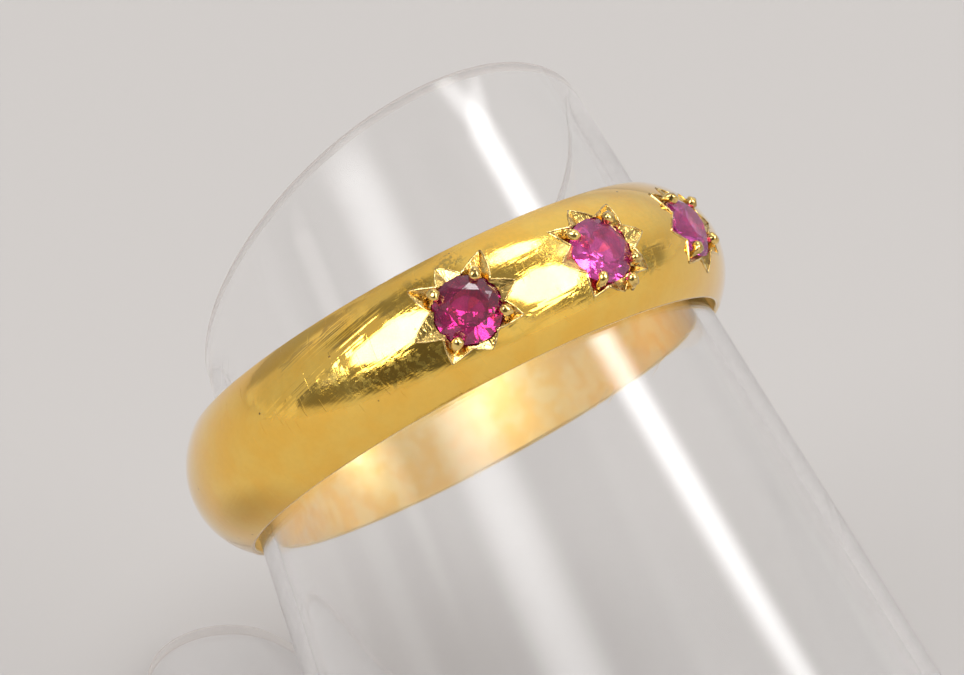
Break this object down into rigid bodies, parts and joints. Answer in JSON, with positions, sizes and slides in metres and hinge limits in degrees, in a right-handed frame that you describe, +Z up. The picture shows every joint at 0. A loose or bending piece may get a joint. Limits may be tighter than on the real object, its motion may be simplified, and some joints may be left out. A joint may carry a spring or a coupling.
{
  "type": "ruby ring on a clear display stand",
  "caption": "Domed gold ring with round rubies set flush in engraved stars, for wear on a finger, held on a leaning clear plastic display finger with a flat foot.",
  "frame": {"origin": "on the underside of the stand's foot, straight below the centre of the ring", "axes": "+Z up, +Y the way the finger leans and the tongue of the foot points, +X to the right of a viewer who looks along +Y"},
  "size_m": [0.0278, 0.0653, 0.0353],
  "materials": {
    "gold": "polished high-carat yellow gold, worn and lightly scratched",
    "ruby": "faceted and polished, purplish red",
    "clear_plastic": "clear, glossy, with fine scratches"
  },
  "bodies": {
    "root": {"band": "gold", "ruby_left": "ruby", "ruby_middle": "ruby", "ruby_right": "ruby", "stand": "clear_plastic"}
  },
  "joints": []
}
